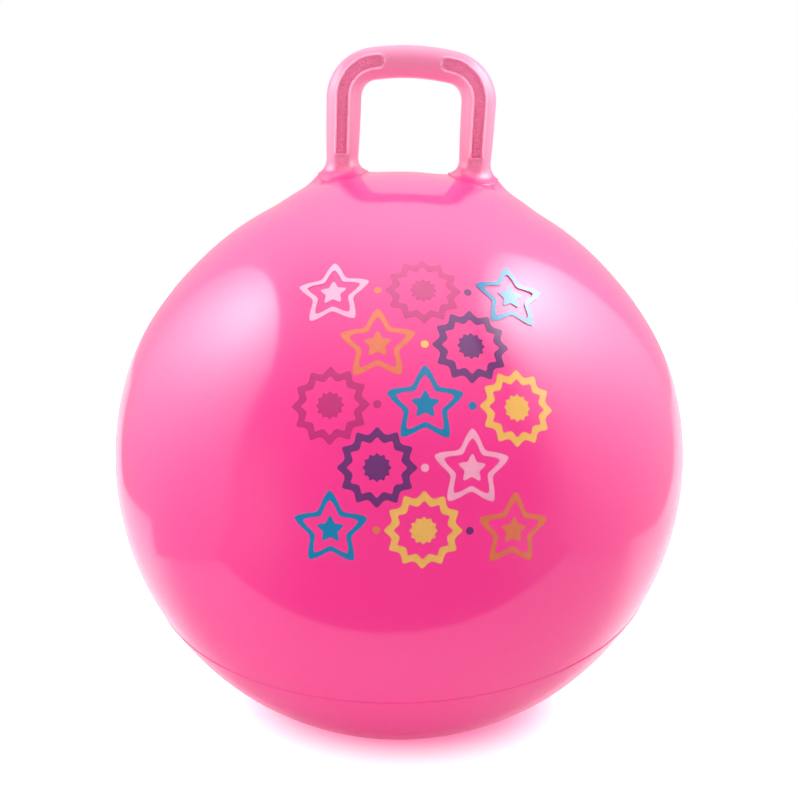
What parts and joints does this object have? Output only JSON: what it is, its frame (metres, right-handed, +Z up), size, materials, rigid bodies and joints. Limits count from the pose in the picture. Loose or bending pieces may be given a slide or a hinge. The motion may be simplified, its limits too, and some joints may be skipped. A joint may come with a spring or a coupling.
{
  "type": "hopper ball",
  "caption": "Inflated ball to sit and bounce on, with a hollow loop handle welded to its crown, moulded grip panels, and an air valve closed by a push-in stopper.",
  "frame": {"origin": "on the ground, under the middle of the ball's flat contact patch", "axes": "+Z up through the ball's centre and the handle, +X along the handle's bar, -Y towards the front, away from the valve"},
  "size_m": [0.4498, 0.45, 0.5354],
  "materials": {
    "ball_vinyl": "glossy, slightly translucent pink vinyl",
    "handle_vinyl": "glossy, slightly translucent pink vinyl with textured grip fields",
    "valve_vinyl": "soft satin pink vinyl",
    "stopper_plastic": "satin white polyethylene"
  },
  "bodies": {
    "ball": {"ball_skin": "ball_vinyl", "handle_loop": "handle_vinyl", "valve_seat": "valve_vinyl"},
    "stopper": {"valve_stopper": "stopper_plastic"}
  },
  "joints": [
    {"name": "stopper_pull", "type": "slide", "parent": "ball", "child": "stopper", "axis": [0, 0.7071, 0.7071], "range_m": [0, 0.016]}
  ]
}
